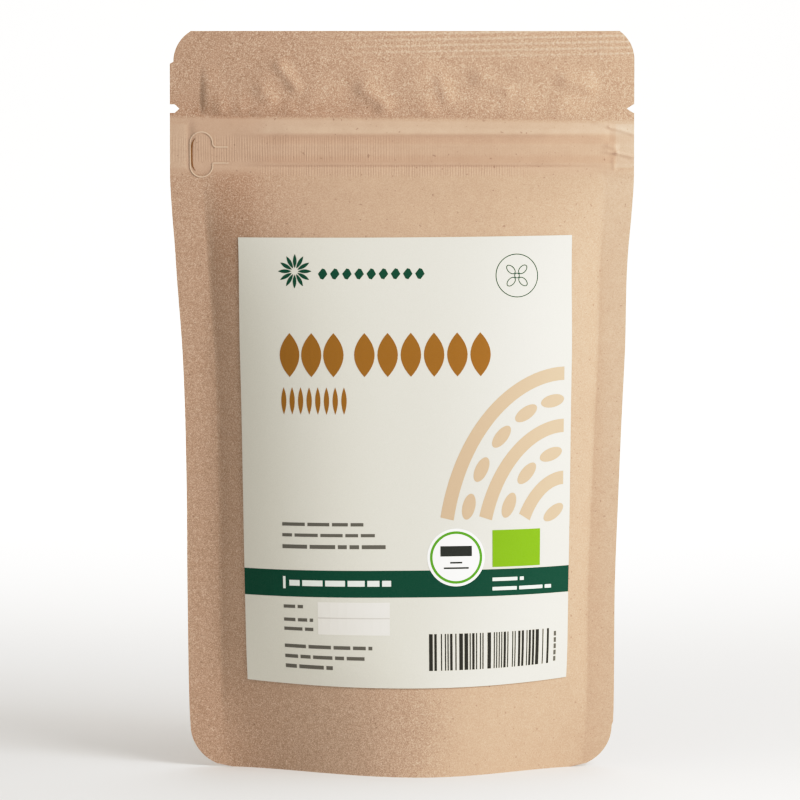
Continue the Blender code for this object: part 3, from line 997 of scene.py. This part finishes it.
@dataclass
class PrintLayer:
    """One ink on the label: flat shapes that are cut to follow the paper's curve and laid on it."""

    label: PaperLabel
    name: str
    ink: Ink
    level: int = 1
    level_step: float = 0.035 * MM
    film: float = 0.02 * MM
    strips: tuple[float, float] = (2.4 * MM, 3.0 * MM)
    arc_steps: int = 26
    word_lengths: tuple[float, float] = (2.2, 7.5)
    shortest: float = 0.8
    space: float = 0.75
    shapes: list[bpy.types.Object] = field(default_factory=list)

    def bar(self, u: float, v: float, width: float, height: float) -> None:
        """A rectangle, from its lower left corner, in millimetres."""
        bpy.ops.mesh.primitive_plane_add(size=MM, location=((u + width / 2) * MM, (v + height / 2) * MM, 0))
        bar = bpy.context.object
        bar.scale = (width, height, 1)
        self.shapes.append(bar)

    def disc(self, u: float, v: float, radius: float, corners: int = 64) -> None:
        """A full disc, in millimetres."""
        bpy.ops.mesh.primitive_circle_add(
            vertices=corners, radius=radius * MM, fill_type="NGON", location=(u * MM, v * MM, 0)
        )
        self.shapes.append(bpy.context.object)

    def ring(
        self, u: float, v: float, radius: float, line: float, tall: float = 1.0, turn: float = 0.0
    ) -> None:
        """A thin ring, or an oval one where it is made taller, in millimetres.

        Args:
            u: Its middle, to the right of the label's.
            v: Its middle, above the label's lower edge.
            radius: Half its width.
            line: How broad its line is.
            tall: Its height over its width.
            turn: The angle by which it is turned to the left.
        """
        bpy.ops.mesh.primitive_circle_add(vertices=56, radius=radius * MM, location=(u * MM, v * MM, 0))
        ring = bpy.context.object
        bpy.ops.object.mode_set(mode="EDIT")
        bpy.ops.mesh.select_all(action="SELECT")
        bpy.ops.mesh.extrude_edges_move()
        bpy.ops.transform.resize(value=(1 - line / radius, 1 - line / (radius * tall), 1))
        bpy.ops.object.mode_set(mode="OBJECT")
        ring.scale = (1, tall, 1)
        ring.rotation_euler = (0, 0, turn)
        self.shapes.append(ring)

    def outline(self, points: list[tuple[float, float]], u: float, v: float, turn: float = 0.0) -> None:
        """A filled outline placed by its origin and turned about it, in millimetres."""
        bpy.ops.mesh.primitive_circle_add(vertices=len(points), radius=MM, fill_type="NGON")
        shape = bpy.context.object
        corners = np.array([(x * MM, y * MM, 0.0) for x, y in points])
        move_vertices(shape, corners)
        if shape.data.polygons[0].normal.z < 0:
            move_vertices(shape, corners[::-1])
        shape.location = (u * MM, v * MM, 0)
        shape.rotation_euler = (0, 0, turn)
        self.shapes.append(shape)

    def arc(self, centre: Stations, axes: Stations, lowest: float, stroke: float) -> None:
        """A broad line along the upper left quarter of an ellipse, in millimetres.

        Args:
            centre: The ellipse's centre.
            axes: Half its width and half its height.
            lowest: Where the line stops, above the centre.
            stroke: How broad the line is.
        """
        band = grid(self.arc_steps, 1)
        wide, high = axes
        turns = np.linspace(math.pi - math.asin(lowest / high), math.pi / 2, self.arc_steps + 1)
        sides = [
            np.stack([(wide + off) * np.cos(turns), (high + off) * np.sin(turns), 0 * turns], axis=1)
            for off in (-stroke / 2, stroke / 2)
        ]
        move_vertices(band, (np.concatenate(sides) + (*centre, 0.0)) * MM)
        self.shapes.append(band)

    def words(self, u: float, v: float, height: float, length: float, seed: int) -> None:
        """A line of print too small to read, as a row of bars with the lengths of words."""
        draw = random.Random(seed)
        end = u + length
        while u < end - self.shortest:
            word = min(draw.uniform(*self.word_lengths), end - u)
            self.bar(u, v, word, height)
            u += word + self.space

    def cut_in_strips(self, piece: bpy.types.Object) -> None:
        """Cuts the flat shapes along lines a few millimetres apart, so that they can bend."""
        places = vertices(piece)
        low, high = places.min(axis=0), places.max(axis=0)
        only(piece)
        bpy.ops.object.mode_set(mode="EDIT")
        for axis, normal in ((0, (1, 0, 0)), (1, (0, 1, 0))):
            step = self.strips[axis]
            for at in np.arange(math.ceil(low[axis] / step) * step, high[axis], step):
                bpy.ops.mesh.select_all(action="SELECT")
                plane = [0.0, 0.0, 0.0]
                plane[axis] = float(at)
                bpy.ops.mesh.bisect(plane_co=plane, plane_no=normal)
        bpy.ops.object.mode_set(mode="OBJECT")

    def build(self) -> bpy.types.Object:
        """Joins the shapes, lays them on the label and gives the film its thickness."""
        for shape in self.shapes:
            settle(shape, self.name)
        piece = join(self.shapes)
        self.cut_in_strips(piece)
        flat = vertices(piece)
        move_vertices(piece, self.label.place(flat[:, 0], flat[:, 1], self.level * self.level_step))
        thicken(piece, self.film)
        piece.name = self.name
        piece.data.name = self.name
        piece.data.materials.clear()
        piece.data.materials.append(self.ink.build())
        return piece


@dataclass
class LabelPrint:
    """The label's print: a generic layout of leaves and arcs, fields of colour, small lines and a bar code.

    Places are in millimetres: u to the right of the label's middle, v above its lower edge.
    """

    label: PaperLabel
    left_margin: float = -35.2
    right_margin: float = 23.8
    title_leaf: tuple[float, float] = (12.2, 5.7)
    title_foot: float = 85.3
    title_groups: tuple[tuple[float, int, float], ...] = ((-35.3, 3, 6.2), (-14.4, 6, 6.45))
    subtitle_leaf: tuple[float, float] = (7.6, 1.5)
    subtitle_foot: float = 74.9
    subtitle_pitch: float = 2.44
    rosette: tuple[float, float] = (-31.2, 114.7)
    rosette_leaf: tuple[float, float] = (3.9, 1.05)
    rosette_hole: float = 0.9
    lozenge: Pairs = ((0, 1.6), (0.75, 0.2), (1.5, 0), (2.7, 1.5), (1.95, 2.9), (1.2, 3.1))
    lozenges: tuple[float, float, float] = (-24.6, 112.4, 3.42)
    flower: tuple[float, float] = (31.5, 113.1)
    petal_place: float = 2.4
    fine_line: float = 0.26
    band: tuple[float, float] = (24.15, 31.6)
    arcs_centre: tuple[float, float] = (45.4, 34.0)
    arcs: Pairs = ((35.2, 51.6), (24.8, 37.0), (14.4, 22.4))
    arc_lowest: float = 11.8
    arc_stroke: float = 3.8
    oval: tuple[float, float] = (7.4, 3.6)
    ovals: tuple[tuple[float, float, Stations], ...] = (
        (30.0, 44.3, (97.0, 113.0, 129.0, 145.0, 160.0)),
        (19.6, 29.7, (102.0, 126.0, 149.0)),
        (8.4, 13.8, (112.0,)),
    )
    small_lines: tuple[tuple[float, float, float], ...] = (
        (43.9, 0.95, 23.5), (40.9, 0.9, 26.3), (37.6, 1.1, 30.2),
        (21.0, 0.9, 5.8), (17.4, 0.9, 8.7), (14.9, 0.9, 8.7),
        (10.2, 0.95, 25.4), (7.4, 0.95, 24.6), (4.6, 1.05, 14.1),
    )
    seal_centre: tuple[float, float] = (13.6, 35.1)
    bar_module: float = 0.365
    bars: tuple[float, float] = (5.9, 41.6)

    def layer(self, name: str, ink: str, colour: str, level: int = 1) -> PrintLayer:
        """A film of ink without its shapes yet; the film of a higher level lies over a lower one."""
        return PrintLayer(self.label, f"print_{name}", Ink(ink, colour), level)

    def title(self) -> PrintLayer:
        """Two groups of leaves, where the pack's name would stand."""
        layer = self.layer("title_leaves", "brown", "8f5e1d")
        for start, count, pitch in self.title_groups:
            for i in range(count):
                layer.outline(leaf_outline(*self.title_leaf), start + pitch * (i + 0.45), self.title_foot)
        return layer

    def subtitle(self) -> PrintLayer:
        """A row of slim leaves under the title."""
        layer = self.layer("subtitle_leaves", "brown line", "8f5e1d")
        for i in range(8):
            u = self.left_margin + 0.9 + self.subtitle_pitch * i
            layer.outline(leaf_outline(*self.subtitle_leaf), u, self.subtitle_foot)
        return layer

    def emblem(self) -> PrintLayer:
        """A rosette of small leaves, a row of lozenges beside it, and a flower in a ring at the right."""
        layer = self.layer("emblems", "dark green", "063f2b")
        u, v = self.rosette
        for turn in np.arange(12) * math.pi / 6:
            x, y = -self.rosette_hole * math.sin(turn), self.rosette_hole * math.cos(turn)
            layer.outline(leaf_outline(*self.rosette_leaf), u + x, v + y, turn)
        start, foot, pitch = self.lozenges
        for i in range(9):
            layer.outline(self.lozenge, start + pitch * i, foot)
        u, v = self.flower
        for radius in (6.1, 0.8):
            layer.ring(u, v, radius, self.fine_line)
        for turn in (np.arange(4) + 0.5) * math.pi / 2:
            x, y = -self.petal_place * math.sin(turn), self.petal_place * math.cos(turn)
            layer.ring(u + x, v + y, 1.0, self.fine_line, 1.6, turn)
        return layer

    def pattern(self) -> PrintLayer:
        """Large pale arcs, one within another, with ovals between them, over the right half."""
        layer = self.layer("arcs", "tan", "bfa58a")
        u, v = self.arcs_centre
        for axes in self.arcs:
            layer.arc(self.arcs_centre, axes, self.arc_lowest, self.arc_stroke)
        for across, up, places in self.ovals:
            for turn in np.radians(places):
                x, y = across * math.cos(turn), up * math.sin(turn)
                along = math.atan2(up * math.cos(turn), -across * math.sin(turn)) - math.pi / 2
                layer.outline(oval_outline(*self.oval), u + x, v + y, along)
        return layer

    def small_print(self) -> PrintLayer:
        """Lines of print too small to read, and a column of it beside the bar code."""
        layer = self.layer("small_lines", "dark grey", "5d5a52")
        for seed, (v, height, length) in enumerate(self.small_lines):
            layer.words(self.left_margin, v, height, length, seed)
        for i in range(5):
            layer.bar(42.9, 5.1 + 1.75 * i, 0.8, 1.35)
        return layer

    def band_field(self) -> PrintLayer:
        """A dark green band over the label's whole width."""
        layer = self.layer("green_band", "deep green", "043e2c")
        low, high = self.band
        width = self.label.width / MM
        layer.bar(-width / 2, low, width, high - low)
        return layer

    def band_print(self) -> PrintLayer:
        """What stands out white on the band: a marker and three lines of print."""
        layer = self.layer("band_lines", "white", "dbe2db", 2)
        layer.bar(self.left_margin, 26.4, 0.75, 3.4)
        layer.words(-33.3, 27.2, 1.6, 28.8, 21)
        layer.words(self.right_margin, 28.3, 0.95, 9.2, 22)
        layer.words(self.right_margin, 25.7, 0.95, 17.9, 23)
        return layer

    def seal(self) -> list[PrintLayer]:
        """A round seal over the band's edge: a white disc, a green ring, and short lines."""
        disc = self.layer("seal_disc", "seal white", "f6f6f4", 2)
        disc.disc(*self.seal_centre, 8.0)
        ring = self.layer("seal_ring", "leaf green", "54941f", 3)
        ring.ring(*self.seal_centre, 7.3, 0.75)
        lines = self.layer("seal_lines", "near black", "262925", 3)
        for place in ((9.2, 35.4, 8.8, 2.9), (11.9, 33.4, 3.4, 0.5), (10.1, 31.9, 7.0, 0.5)):
            lines.bar(*place)
        return [disc, ring, lines]

    def green_field(self) -> PrintLayer:
        """A plain light green rectangle beside the seal."""
        layer = self.layer("light_green_field", "light green", "77a112", 2)
        layer.bar(self.right_margin, 32.2, 14.2, 10.3)
        return layer

    def date_box(self) -> list[PrintLayer]:
        """The blank field for a date, with a fine line across."""
        box = self.layer("date_box", "box white", "dfdcd5")
        box.bar(-25.1, 14.1, 20.2, 8.7)
        line = self.layer("date_line", "light grey", "c6c2bc", 2)
        line.bar(-25.1, 18.4, 20.2, 0.28)
        return [box, line]

    def bar_code(self) -> PrintLayer:
        """Upright bars of three widths, drawn by chance, so that they code nothing."""
        layer = self.layer("bar_code", "black", "25241f")
        draw = random.Random(5)
        u, end = self.bars
        while u < end:
            width = min(draw.choice((1, 1, 2, 2, 3)) * self.bar_module, end - u)
            layer.bar(u, 4.7, width * 0.96, 9.7)
            u += width + draw.choice((1, 1, 1, 2, 3)) * self.bar_module
        return layer

    def build(self) -> list[bpy.types.Object]:
        """Makes every film of ink."""
        layers = [self.title(), self.subtitle(), self.emblem(), self.pattern(), self.small_print()]
        layers += [self.band_field(), self.band_print(), *self.seal(), self.green_field(), *self.date_box()]
        layers.append(self.bar_code())
        return [layer.build() for layer in layers]


@dataclass
class Studio:
    """A pale sweep, soft lights and the camera.

    The key hangs near the pouch's upper right, a lower one beside it opens the right flank, and a third
    lights the sweep alone.
    """

    camera_place: tuple[float, float, float] = (-0.56 * MM, -1300.0 * MM, 189.15 * MM)
    aim_height: float = 103.61 * MM
    lens: float = 208.7
    key_place: tuple[float, float, float] = (0.32, -0.32, 0.3)
    key_power: float = 2.15
    side_place: tuple[float, float, float] = (0.42, -0.22, 0.16)
    side_power: float = 0.7
    near_size: float = 0.3
    back_bearing: float = 165.0
    back_height: float = 72.0
    back_light: float = 0.42
    back_spread: float = 24.0
    backdrop_place: tuple[float, float, float] = (0.0, 0.7, 1.1)
    backdrop_aim: tuple[float, float, float] = (0.0, 2.2, 0.2)
    backdrop_power: float = 24.0
    backdrop_size: float = 1.0
    world_light: float = 0.54
    world_colour: str = "fffaf3"
    floor_colour: str = "ededec"
    floor_width: float = 2.4
    floor_ends: tuple[float, float] = (-0.13, 2.0)
    wall_height: float = 1.3
    wall_bend: float = 0.8
    white_level: float = 1.5
    highlights: Pairs = ((0.3, 0.3), (0.6, 0.605), (0.8, 0.76), (1.0, 0.86), (1.25, 0.95))
    middle: tuple[float, float, float] = (0.0, 0.0, 0.1)

    def pick_back_edges(self, sweep: bpy.types.Object) -> None:
        """Selects the floor's back edge alone, and leaves edit mode open."""
        bpy.ops.object.mode_set(mode="EDIT")
        bpy.ops.mesh.select_mode(type="EDGE")
        bpy.ops.mesh.select_all(action="DESELECT")
        bpy.ops.object.mode_set(mode="OBJECT")
        for edge in sweep.data.edges:
            ends = [sweep.data.vertices[i].co for i in edge.vertices]
            edge.select = all(end.y > 1.0 and end.z < 0.1 for end in ends)
        bpy.ops.object.mode_set(mode="EDIT")

    def sweep(self) -> bpy.types.Object:
        """A floor that curves up into a backdrop behind the pouch."""
        deselect()
        front, back = self.floor_ends
        bpy.ops.mesh.primitive_plane_add(size=1.0, location=(0, (front + back) / 2, 0))
        sweep = bpy.context.object
        sweep.scale = (self.floor_width, back - front, 1.0)
        settle(sweep, "studio_sweep")
        self.pick_back_edges(sweep)
        bpy.ops.mesh.extrude_edges_move(TRANSFORM_OT_translate={"value": (0, 0, self.wall_height)})
        self.pick_back_edges(sweep)
        bpy.ops.mesh.bevel(offset=self.wall_bend, segments=24)
        bpy.ops.object.mode_set(mode="OBJECT")
        smooth(sweep, 60)
        graph = Graph("matt white studio paper")
        graph.finish(linear(self.floor_colour), 0.9)
        sweep.data.materials.append(graph.material)
        return sweep

    def hang(self, name: str, data: bpy.types.ID, place: Stations = (0.0, 0.0, 0.0)) -> bpy.types.Object:
        """Puts a light or a camera into the scene."""
        holder = bpy.data.objects.new(name, data)
        bpy.context.collection.objects.link(holder)
        holder.location = place
        return holder

    def softbox(self, name: str, place: Stations, aim: Stations, power: float, size: float) -> None:
        """A square softbox.

        Args:
            name: The light's name.
            place: Where it hangs.
            aim: The point that it faces.
            power: Its power in watts.
            size: Its width and height.
        """
        light = bpy.data.lights.new(name, "AREA")
        light.energy = power
        light.size = size
        lamp = self.hang(name, light, place)
        lamp.rotation_euler = (Vector(aim) - Vector(place)).to_track_quat("-Z", "Y").to_euler()

    def back(self) -> None:
        """A high soft light from behind, which draws the pouch's shadow forward under its front edge."""
        light = bpy.data.lights.new("back_light", "SUN")
        light.energy = self.back_light
        light.angle = math.radians(self.back_spread)
        rise = math.radians(self.back_height)
        lamp = self.hang("back_light", light)
        lamp.rotation_euler = (math.pi / 2 - rise, 0, math.radians(self.back_bearing))

    def camera(self) -> None:
        """A camera at the photograph's height and angle."""
        data = bpy.data.cameras.new("camera")
        data.lens = self.lens
        camera = self.hang("camera", data, self.camera_place)
        fall = self.camera_place[2] - self.aim_height
        camera.rotation_euler = (math.pi / 2 - math.atan2(fall, -self.camera_place[1]), 0, 0)
        bpy.context.scene.camera = camera

    def tones(self) -> None:
        """Rolls the picture's highlights off softly, as a studio camera does, and leaves the rest."""
        view = bpy.context.scene.view_settings
        view.view_transform = "Standard"
        view.use_curve_mapping = True
        mapping = view.curve_mapping
        mapping.white_level = (self.white_level,) * 3
        curve = mapping.curves[3]
        for light, shown in self.highlights:
            curve.points.new(light / self.white_level, shown)
        mapping.update()

    def build(self) -> None:
        """Sets up the floor, the lights, the camera and how the picture's tones are shown."""
        self.sweep()
        self.softbox("key_softbox", self.key_place, self.middle, self.key_power, self.near_size)
        self.softbox("side_softbox", self.side_place, self.middle, self.side_power, self.near_size)
        backdrop = (self.backdrop_place, self.backdrop_aim, self.backdrop_power, self.backdrop_size)
        self.softbox("backdrop_softbox", *backdrop)
        self.back()
        world = bpy.data.worlds.new("studio")
        world.use_nodes = True
        sky = world.node_tree.nodes["Background"].inputs
        sky["Strength"].default_value = self.world_light
        sky["Color"].default_value = linear(self.world_colour)
        bpy.context.scene.world = world
        self.tones()
        self.camera()


def crushed_zip_ends() -> tuple[Wrinkle, ...]:
    """The small wrinkles where the side seals crush the ends of the zip."""
    return (
        Wrinkle((-64.6, 173.3), (-60.4, 173.2), -0.1, 0.28),
        Wrinkle((-63.2, 170.6), (-61.0, 170.9), 0.12, 0.3),
        Wrinkle((54.3, 181.4), (58.0, 180.2), 0.3, 0.5),
        Wrinkle((58.0, 180.2), (64.7, 178.3), 0.4, 0.5),
        Wrinkle((57.9, 174.8), (59.4, 174.6), 0.6, 0.9),
        Wrinkle((57.3, 173.2), (60.0, 172.9), 0.45, 0.45),
        Wrinkle((60.0, 172.9), (64.8, 171.8), 0.5, 0.45),
        Wrinkle((57.1, 167.2), (64.8, 166.9), 0.32, 0.3),
        Wrinkle((59.2, 170.9), (59.4, 168.2), 0.18, 0.4),
    )


def chamber_folds() -> tuple[Wrinkle, ...]:
    """The soft folds in the empty paper between the zip and the top seal."""
    return (
        Wrinkle((-34.2, 197.2), (-29.8, 191.4), 0.95, 1.5),
        Wrinkle((-39.0, 190.5), (-37.0, 188.0), 0.65, 2.0),
        Wrinkle((-10.5, 190.8), (-5.0, 186.4), 1.0, 2.2),
        Wrinkle((11.0, 192.8), (12.5, 188.5), 0.7, 1.8),
        Wrinkle((22.0, 193.6), (29.0, 191.0), 0.9, 2.4),
        Wrinkle((46.0, 193.2), (52.0, 191.4), 0.8, 2.2),
    )


def arc_points(centre: Stations, radius: float, start: float, end: float, count: int) -> list[Stations]:
    """Points along a round stretch of an outline.

    Args:
        centre: The stretch's centre.
        radius: Its radius.
        start: The angle of its first point.
        end: The angle of its last point.
        count: How many points it has.

    Returns:
        The points, as pairs.
    """
    x, y = centre
    return [(x + radius * math.cos(a), y + radius * math.sin(a)) for a in np.linspace(start, end, count)]


def line_points(start: Stations, end: Stations, count: int) -> list[Stations]:
    """Evenly spaced points from one place to another."""
    return [tuple(place) for place in np.linspace(start, end, count)]


@dataclass
class TearTab:
    """The die-cut line in the front wall at the zip's left end: an upright capsule with two short slits."""

    form: PouchForm
    lip_paper: bpy.types.Material
    edge_and_shadow: bpy.types.Material
    centre: tuple[float, float] = (-56.1, 172.5)
    radius: float = 3.15
    straight: float = 3.15
    slits: tuple[float, float] = (174.6, 170.1)
    slit_end: float = -48.6
    fillet: float = 1.0
    lip_width: float = 0.32 * MM
    lip_rise: float = 0.13 * MM
    gap_width: float = 0.5 * MM
    gap_point: float = 0.02 * MM
    gap_overrun: float = 1.5
    gap_inset: float = 0.4
    gap_bend: float = 1.1

    def place(self, x: np.ndarray, z: np.ndarray, lift: float) -> np.ndarray:
        """Points above the front wall, as rows of three."""
        point, normal = self.form.front(x, z)
        return point + normal * lift

    def path(self) -> np.ndarray:
        """The cut's line from the upper slit's end round the capsule to the lower slit's end, in metres."""
        x, z = self.centre
        top, foot = z + self.straight, z - self.straight
        upper, lower = self.slits
        side = x + self.radius
        turn = side + self.fillet
        points = line_points((self.slit_end, upper), (turn, upper), 8)
        points += arc_points((turn, upper + self.fillet), self.fillet, -math.pi / 2, -math.pi, 6)[1:]
        points += arc_points((x, top), self.radius, 0.15, math.pi, 18)
        points += line_points((x - self.radius, top), (x - self.radius, foot), 8)[1:-1]
        points += arc_points((x, foot), self.radius, math.pi, 2 * math.pi, 18)
        points += line_points((side, foot), (side, lower), 3)[1:]
        points += line_points((side, lower), (self.slit_end, lower), 8)[1:]
        return np.array(points) * MM

    def strip(self, name: str, path: np.ndarray, widths: np.ndarray, lift: float) -> bpy.types.Object:
        """A narrow strip laid along a line on the front wall.

        Args:
            name: The piece's name.
            path: Points along the line, as rows of x and z.
            widths: The strip's width at each point.
            lift: How far its face stands above the wall.

        Returns:
            The strip, with its thickness.
        """
        along = np.gradient(path, axis=0)
        along /= np.linalg.norm(along, axis=1, keepdims=True)
        off = np.stack([-along[:, 1], along[:, 0]], axis=1) * widths[:, None] / 2
        piece = settle(grid(len(path) - 1, 1), name)
        flat = np.concatenate([path + off, path - off])
        move_vertices(piece, self.place(flat[:, 0], flat[:, 1], lift))
        thicken(piece, lift * 0.9)
        smooth(piece, 60)
        return piece

    def build(self) -> list[bpy.types.Object]:
        """Makes the lip of the cut, in paper painted paler as a painted highlight, and the gap along its left
        side, a dark strip of raw edge and painted shadow.
        """
        path = self.path()
        lip = self.strip("pouch_tab_lip", path, np.full(len(path), self.lip_width), self.lip_rise)
        lip.data.materials.append(self.lip_paper)
        x, z = self.centre
        reach = self.straight + self.gap_overrun
        off = np.linspace(1.0, -1.0, 16)
        inset = self.radius - self.gap_inset - self.gap_bend * off**4
        line = np.stack([x - inset, z + reach * off], axis=1) * MM
        taper = self.gap_width * (1 - np.abs(off) ** 3) + self.gap_point
        # a dark strip for the raw edge and the painted shadow in the gap
        gap = self.strip("pouch_tab_gap", line, taper, self.lip_rise / 2)
        gap.data.materials.append(self.edge_and_shadow)
        return [lip, gap]


def main() -> None:
    """Builds every piece in order and reports it."""
    logging.basicConfig(level=logging.INFO, format="%(name)s: %(message)s")
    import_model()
    _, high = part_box(POUCH_NODE)
    form = PouchForm(height=high.z, half_width=high.x, wrinkles=crushed_zip_ends() + chamber_folds())
    walls = PouchWalls(form, KraftPaper().build())
    # the lip's paper is painted paler, as a painted highlight on the cut's lit rim
    lip_highlight_paper = KraftPaper("kraft paper lightened as a painted highlight", colour="d0b79f", dark_fleck="b6997d")
    tab = TearTab(form, lip_highlight_paper.build(), CutEdgeAndShadow().build())
    label = PaperLabel(form, LabelStock().build())
    for piece in walls.build() + tab.build():
        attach(piece, BODY)
        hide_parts(POUCH_NODE)
        LOG.info("%s: %d faces", piece.name, len(piece.data.polygons))
    for piece in label.build():
        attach(piece, BODY)
        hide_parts(LABEL_NODE)
        LOG.info("%s: %d faces", piece.name, len(piece.data.polygons))
    for piece in LabelPrint(label).build():
        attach(piece, BODY)
        LOG.info("%s: %d faces", piece.name, len(piece.data.polygons))
    Studio().build()


if __name__ == "__main__":
    main()
